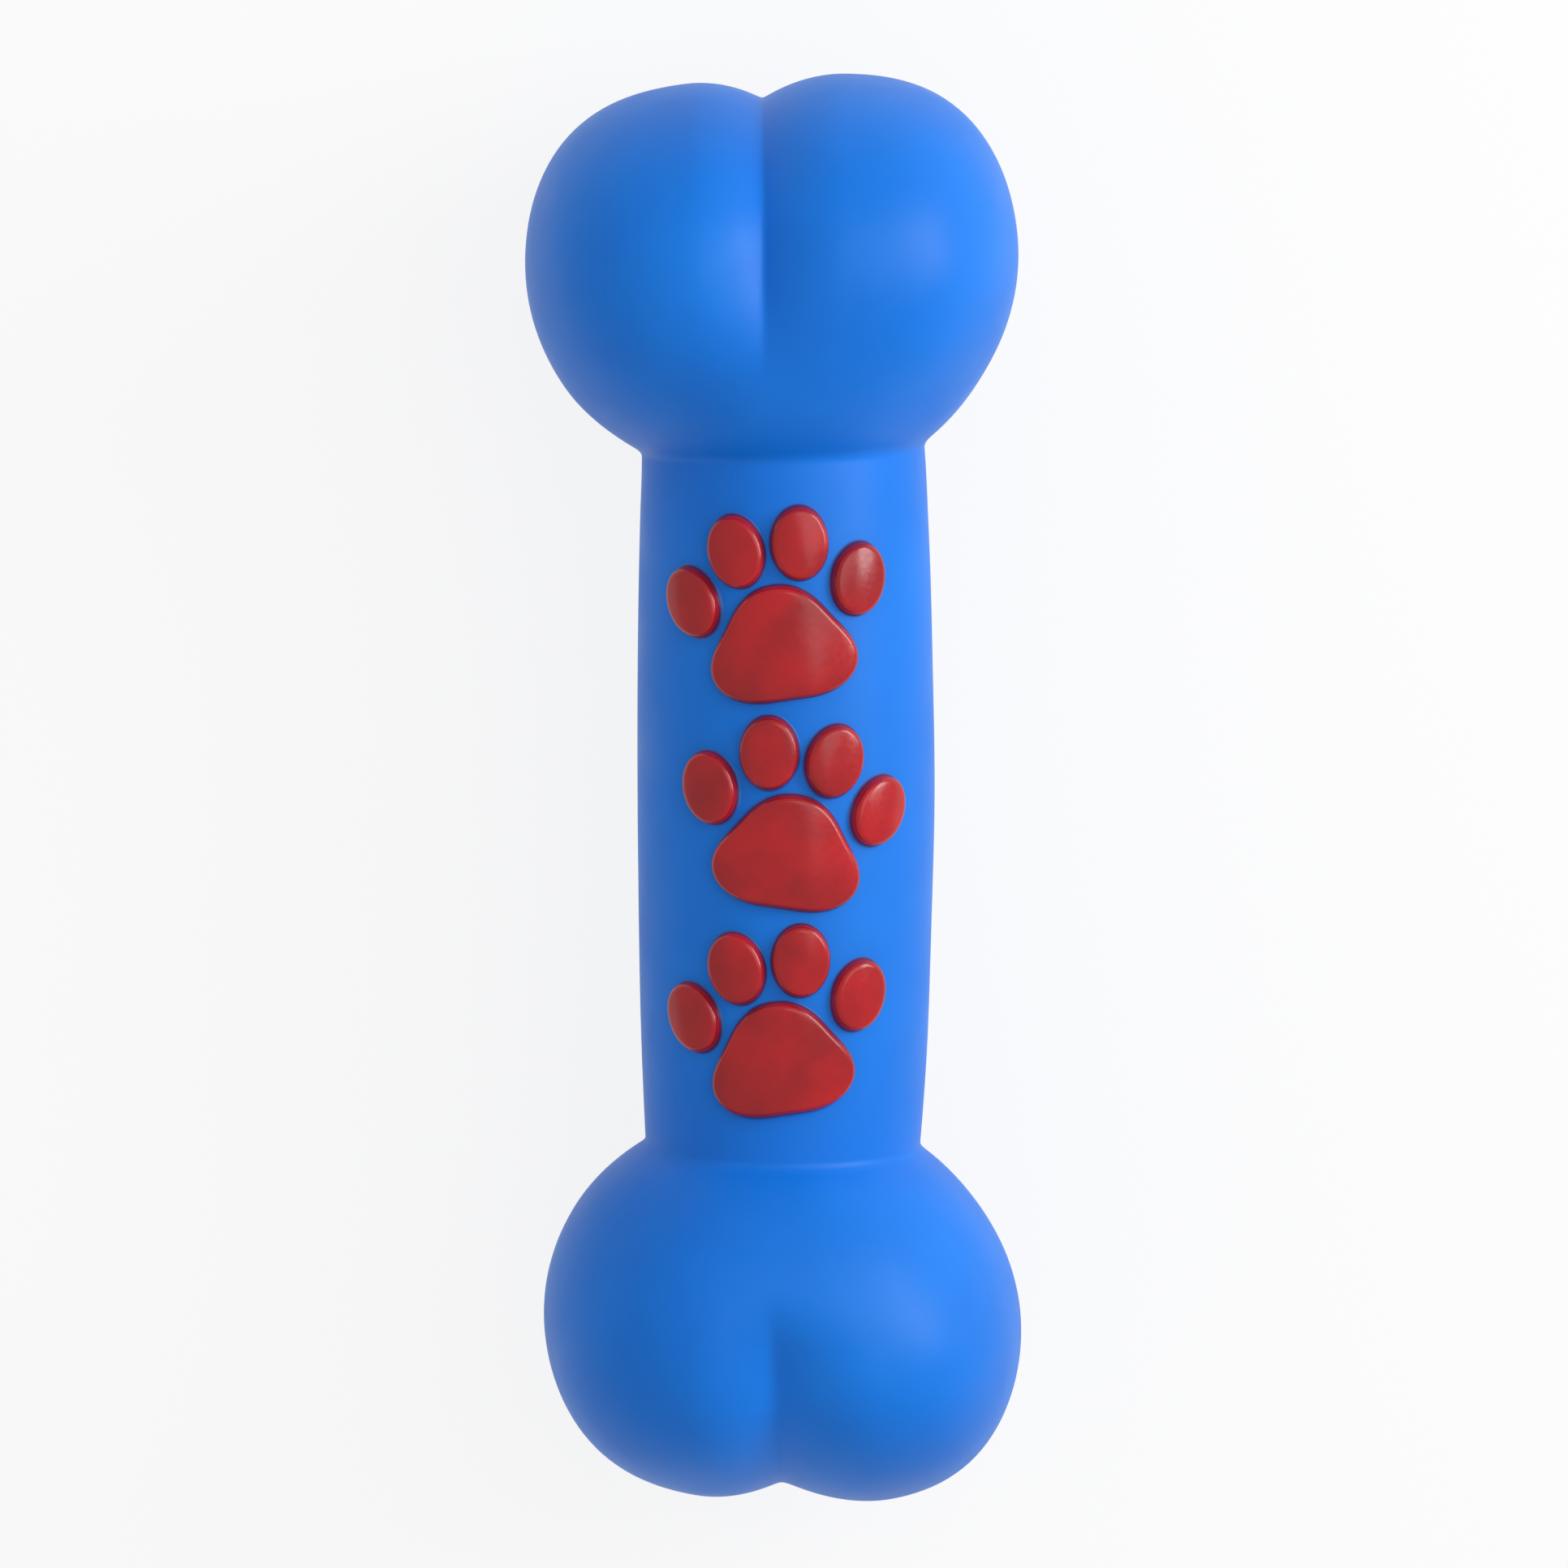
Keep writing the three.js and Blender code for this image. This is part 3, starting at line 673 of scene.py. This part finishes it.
def pad_rings(half_size, corner_reach, around):
    """(spots, height, paint) of each ring of a pad, from its foot to its middle."""
    angle = 2 * math.pi * np.arange(around) / around
    reach = 1 - corner_reach * np.sin(PAD_CORNERS * angle)
    outline = np.stack([half_size[0] * reach * np.cos(angle),
                        half_size[1] * reach * np.sin(angle)], axis=1)
    ahead = np.roll(outline, -1, axis=0) - np.roll(outline, 1, axis=0)
    inward = np.stack([-ahead[:, 1], ahead[:, 0]], axis=1)
    inward /= np.linalg.norm(inward, axis=1)[:, None]
    rings = [(outline + inward * step, height, thickness) for step, height, thickness in pad_profile()]
    top_edge = rings[-1][0]
    for i in range(1, TOP_STEPS):
        share = 1 - i / TOP_STEPS
        rings.append((top_edge * share, PRINT_HEIGHT + PRINT_CROWN * (1 - share * share), 1.0))
    return rings


# %% Build the prints
def raised_pad(name, centre, half_size, turn, corner_reach, around, print_spot, print_turn):
    """One pad of a print, with the paint's thickness on its points."""
    rings = pad_rings(half_size, corner_reach, around)
    points, cover_values = [], []
    for spots, height, thickness in rings + [(np.zeros((1, 2)), PRINT_HEIGHT + PRINT_CROWN, 1.0)]:
        plan = turned(turned(spots, turn) + centre, print_turn) + print_spot
        radius = shaft_radius(plan[:, 1]) + height
        bend = plan[:, 0] / SHAFT_MID_RADIUS
        points.append(np.stack([radius * np.sin(bend), plan[:, 1], radius * np.cos(bend)], axis=1))
        cover_values += [thickness] * len(spots)
    faces = []
    for ring in range(len(rings) - 1):
        here, there = ring * around, (ring + 1) * around
        for i in range(around):
            after = (i + 1) % around
            faces.append((here + i, here + after, there + after, there + i))
    middle, last_ring = len(rings) * around, (len(rings) - 1) * around
    for i in range(around):
        faces.append((last_ring + i, last_ring + (i + 1) % around, middle))
    faces.append(tuple(reversed(range(around))))
    pad = mesh_piece(name, out_of_true(np.concatenate(points)) + shaft_axis, faces, paint)
    pad.data.attributes.new("paint_cover", "FLOAT", "POINT").data.foreach_set("value", cover_values)
    return pad


pitch = PRINT_LENGTH + PRINT_SPACING
room = FAR.neck + NEAR.neck - 2 * PRINT_MARGIN + PRINT_SPACING
print_count = int(room // pitch)
middle_along = (FAR.neck - NEAR.neck) / 2
half_print = np.array([PRINT_WIDTH / 2, PRINT_LENGTH / 2])
for number in range(1, print_count + 1):
    side = -1 if number % 2 == 1 else 1
    spot = np.array([side * PRINT_STAGGER, middle_along + ((print_count + 1) / 2 - number) * pitch])
    for name, centre, half_size, turn, corner_reach, around in [PAD_PLAN, *TOE_PLANS]:
        pad = raised_pad(f"painted_print_{number}_{name}", np.array(centre) * half_print,
                         np.array(half_size) * half_print, turn, corner_reach, around,
                         spot, -side * PRINT_TURN)
        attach(pad, "pressed_wall")
        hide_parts(f"print_{number}_{name}")

# %% [markdown]
# ## The squeaker
# The squeaker is a little turned-looking case of white polyethylene, pressed into its hole from
# outside: a flange with a vent in its middle, a neck, a barb that holds it and a barrel. It is
# injection moulded, so every corner has a small radius. The plastic is milky and waxy, and slightly
# uneven where it flowed into the mould. A half profile is spun round the axis, as on a lathe, with
# each corner of the profile rounded first.

# %% Polyethylene material
POLYETHYLENE_IOR = 1.51
POLYETHYLENE_SHADES = ("#e2e0d8", "#f2f1ec")
POLYETHYLENE_ROUGHNESS = (0.36, 0.5)
FLOW_SIZE = 4
TEXTURE_SIZE = 0.3
TEXTURE_DEPTH = 0.02

polyethylene, polyethylene_shader = new_material("ldpe_moulded")
polyethylene_place = add_node(polyethylene, "ShaderNodeTexCoord").outputs["Object"]
flow = add_node(polyethylene, "ShaderNodeTexNoise",
                {"Vector": polyethylene_place, "Scale": 1 / (FLOW_SIZE * MM), "Detail": 3.0})
milky = add_node(polyethylene, "ShaderNodeValToRGB", {"Fac": flow.outputs["Fac"]})
for stop, shade in zip(milky.color_ramp.elements, POLYETHYLENE_SHADES):
    stop.color = linear(shade)
waxy = add_node(polyethylene, "ShaderNodeMapRange",
                {"Value": flow.outputs["Fac"],
                 "To Min": POLYETHYLENE_ROUGHNESS[0], "To Max": POLYETHYLENE_ROUGHNESS[1]})
texture = add_node(polyethylene, "ShaderNodeTexNoise",
                   {"Vector": polyethylene_place, "Scale": 1 / (TEXTURE_SIZE * MM), "Detail": 2.0})
texture_bump = add_node(polyethylene, "ShaderNodeBump",
                        {"Height": texture.outputs["Fac"], "Strength": 0.15,
                         "Distance": TEXTURE_DEPTH * MM})
fill_inputs(polyethylene, polyethylene_shader, {
    "Base Color": milky.outputs["Color"],
    "Roughness": waxy.outputs["Result"],
    "Normal": texture_bump.outputs["Normal"],
    "IOR": POLYETHYLENE_IOR,
})
print("polyethylene:", len(polyethylene.node_tree.nodes), "nodes")

# %% Build the squeaker's case
CASE_AROUND = 96
CORNER_STEPS = 4
PLUG_RADIUS, BARB_OVERHANG, BARB_HEIGHT = 6, 1.6, 3
BARREL_STEP, BARREL_WALL, BARREL_LENGTH, VENT_RADIUS = 0.4, 1.4, 9, 1.5
barb_bottom = seat_ceiling + FIT_GAP
barb_top = barb_bottom + BARB_HEIGHT
barrel_top = barb_top + BARREL_LENGTH
barrel_radius = PLUG_RADIUS - BARREL_STEP
bore_radius = barrel_radius - BARREL_WALL
# Corners of the half profile, each with the length that its rounding takes off both sides.
case_corners = [
    (VENT_RADIUS, flange_bottom, 0.3), (FLANGE_RADIUS, flange_bottom, 0.5),
    (FLANGE_RADIUS, flange_top, 0.3), (PLUG_RADIUS, flange_top, 0.2),
    (PLUG_RADIUS, barb_bottom, 0.2), (PLUG_RADIUS + BARB_OVERHANG, barb_bottom, 0.25),
    (barrel_radius, barb_top, 0.3), (barrel_radius, barrel_top, 0.25),
    (bore_radius, barrel_top, 0.25), (bore_radius, flange_top, 0.3), (VENT_RADIUS, flange_top, 0.2),
]


def rounded_profile(corners):
    """The corners of a closed outline, each replaced by a short curve."""
    spots = np.array([corner[:2] for corner in corners], float)
    outline = []
    for i, (_, _, cut) in enumerate(corners):
        here, before, after = spots[i], spots[i - 1], spots[(i + 1) % len(spots)]
        first = here + (before - here) / np.linalg.norm(before - here) * cut
        last = here + (after - here) / np.linalg.norm(after - here) * cut
        for share in np.linspace(0, 1, CORNER_STEPS + 1):
            rest = 1 - share
            outline.append(rest ** 2 * first + 2 * share * rest * here + share ** 2 * last)
    return np.array(outline)


case_profile = rounded_profile(case_corners)
case_turns = 2 * math.pi * np.arange(CASE_AROUND) / CASE_AROUND
case_points = np.concatenate([
    np.stack([r * np.cos(case_turns), r * np.sin(case_turns), np.full(CASE_AROUND, z)], axis=1)
    for r, z in case_profile])
case_faces = []
for ring in range(len(case_profile)):
    here, there = ring * CASE_AROUND, (ring + 1) % len(case_profile) * CASE_AROUND
    for i in range(CASE_AROUND):
        after = (i + 1) % CASE_AROUND
        case_faces.append((here + i, here + after, there + after, there + i))
case = mesh_piece("squeaker_body", case_points + shaft_axis, case_faces, polyethylene)
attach(case, "bone")
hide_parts("squeaker_case")

# %% [markdown]
# ## The reed inside
# The bed and the wedge are the same polyethylene, and the reed is a strip of polyester film, pale and
# shiny with a faint haze. The solids already have their true shape, so they keep it and only get their
# materials.

# %% Reed materials
FILM_IOR = 1.64
FILM_SHADES = ("#c9cfcb", "#dde1de")
FILM_ROUGHNESS = (0.1, 0.22)
HAZE_SIZE = 1.5

film, film_shader = new_material("polyester_film")
film_place = add_node(film, "ShaderNodeTexCoord").outputs["Object"]
haze = add_node(film, "ShaderNodeTexNoise",
                {"Vector": film_place, "Scale": 1 / (HAZE_SIZE * MM), "Detail": 3.0})
film_colour = add_node(film, "ShaderNodeValToRGB", {"Fac": haze.outputs["Fac"]})
for stop, shade in zip(film_colour.color_ramp.elements, FILM_SHADES):
    stop.color = linear(shade)
film_gloss = add_node(film, "ShaderNodeMapRange",
                      {"Value": haze.outputs["Fac"],
                       "To Min": FILM_ROUGHNESS[0], "To Max": FILM_ROUGHNESS[1]})
fill_inputs(film, film_shader, {
    "Base Color": film_colour.outputs["Color"],
    "Roughness": film_gloss.outputs["Result"],
    "IOR": FILM_IOR,
})
for node_name, material in (("reed_bed", polyethylene), ("reed_wedge", polyethylene),
                            ("reed_tongue", film)):
    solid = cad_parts[node_name]
    solid.data.materials.clear()
    solid.data.materials.append(material)
print("the reed's three solids keep their shape")

# %% [markdown]
# ## Floor, light and camera
# The photograph has a white ground and soft light from the right and a little towards the far end,
# with white all round to fill the shadows. A low key lamp draws the highlights on the right lobes, a
# larger lamp over it lights the tops, and an even white world does the rest. The floor is white paper.
# To the camera and in reflections it is mostly plain white, and the part that stays paper keeps the
# shadow under the bone.

# %% Floor
PAPER_WHITE = "#f4f4f4"
PAPER_ROUGHNESS = 0.9
PLAIN_WHITE = (1, 1, 1, 1)
WHITE_SHARE = 0.85
FLOOR_HALF = 3000

paper, paper_shader = new_material("white_paper")
fill_inputs(paper, paper_shader, {"Base Color": linear(PAPER_WHITE), "Roughness": PAPER_ROUGHNESS})
light_path = add_node(paper, "ShaderNodeLightPath").outputs
seen = add_node(paper, "ShaderNodeMath",
                {0: light_path["Is Camera Ray"], 1: light_path["Is Glossy Ray"]}, operation="MAXIMUM")
mirrored = add_node(paper, "ShaderNodeMath",
                    {0: seen.outputs["Value"], 1: light_path["Is Transmission Ray"]},
                    operation="MAXIMUM")
white_share = add_node(paper, "ShaderNodeMath",
                       {0: mirrored.outputs["Value"], 1: WHITE_SHARE}, operation="MULTIPLY")
plain_white = add_node(paper, "ShaderNodeEmission", {"Color": PLAIN_WHITE, "Strength": 1.0})
paper_mix = add_node(paper, "ShaderNodeMixShader",
                     {0: white_share.outputs["Value"], 1: paper_shader.outputs["BSDF"],
                      2: plain_white.outputs["Emission"]})
fill_inputs(paper, paper.node_tree.nodes["Material Output"], {"Surface": paper_mix.outputs["Shader"]})
floor = mesh_piece("floor", [(-FLOOR_HALF, -FLOOR_HALF, 0), (FLOOR_HALF, -FLOOR_HALF, 0),
                             (FLOOR_HALF, FLOOR_HALF, 0), (-FLOOR_HALF, FLOOR_HALF, 0)],
                   [(0, 1, 2, 3)], paper)

# %% Light
WORLD_STRENGTH = 0.52
BONE_MIDDLE = Vector((0, 0, 30 * MM))

world = bpy.data.worlds.new("white_room")
bpy.context.scene.world = world
world.use_nodes = True
fill_inputs(world, world.node_tree.nodes["Background"],
            {"Color": PLAIN_WHITE, "Strength": WORLD_STRENGTH})


def softbox(name, height, bearing, distance, size, watts):
    """A lamp that faces the bone. Height over the floor and bearing from +X are in degrees."""
    lamp_data = bpy.data.lights.new(name, "AREA")
    lamp_data.shape = "RECTANGLE"
    lamp_data.size, lamp_data.size_y = size[0] * MM, size[1] * MM
    lamp_data.energy = watts
    lamp = bpy.data.objects.new(name, lamp_data)
    bpy.context.scene.collection.objects.link(lamp)
    level = math.cos(math.radians(height))
    way = Vector((level * math.cos(math.radians(bearing)), level * math.sin(math.radians(bearing)),
                  math.sin(math.radians(height))))
    lamp.location = BONE_MIDDLE + way * distance * MM
    lamp.rotation_euler = way.to_track_quat("Z", "Y").to_euler()
    print(f"{name}: {watts} W at", [round(c, 2) for c in lamp.location])


softbox("key_softbox", height=28, bearing=22, distance=600, size=(380, 220), watts=1.8)
softbox("high_softbox", height=60, bearing=35, distance=700, size=(500, 400), watts=0.8)

# %% [markdown]
# The camera looks down on the bone from a long way off, tipped 8 degrees towards its far end. Its
# distance, tilt, lens and target were found from the outline in the photograph.

# %% Camera
CAMERA_TILT = math.radians(8)
CAMERA_DISTANCE = 1300
CAMERA_TARGET = shaft_axis + [-0.18, 1.15, 0]
SENSOR_WIDTH = 36
LENS_LENGTH = 240.1

camera_data = bpy.data.cameras.new("camera")
camera_data.sensor_width = SENSOR_WIDTH
camera_data.lens = LENS_LENGTH
camera = bpy.data.objects.new("camera", camera_data)
bpy.context.scene.collection.objects.link(camera)
away = np.array([0, math.sin(CAMERA_TILT), math.cos(CAMERA_TILT)])
camera.location = (CAMERA_TARGET + away * CAMERA_DISTANCE) * MM
camera.rotation_euler = (-CAMERA_TILT, 0, 0)
bpy.context.scene.camera = camera
bpy.context.scene.view_settings.view_transform = "Standard"
print("camera at", [round(c, 3) for c in camera.location])
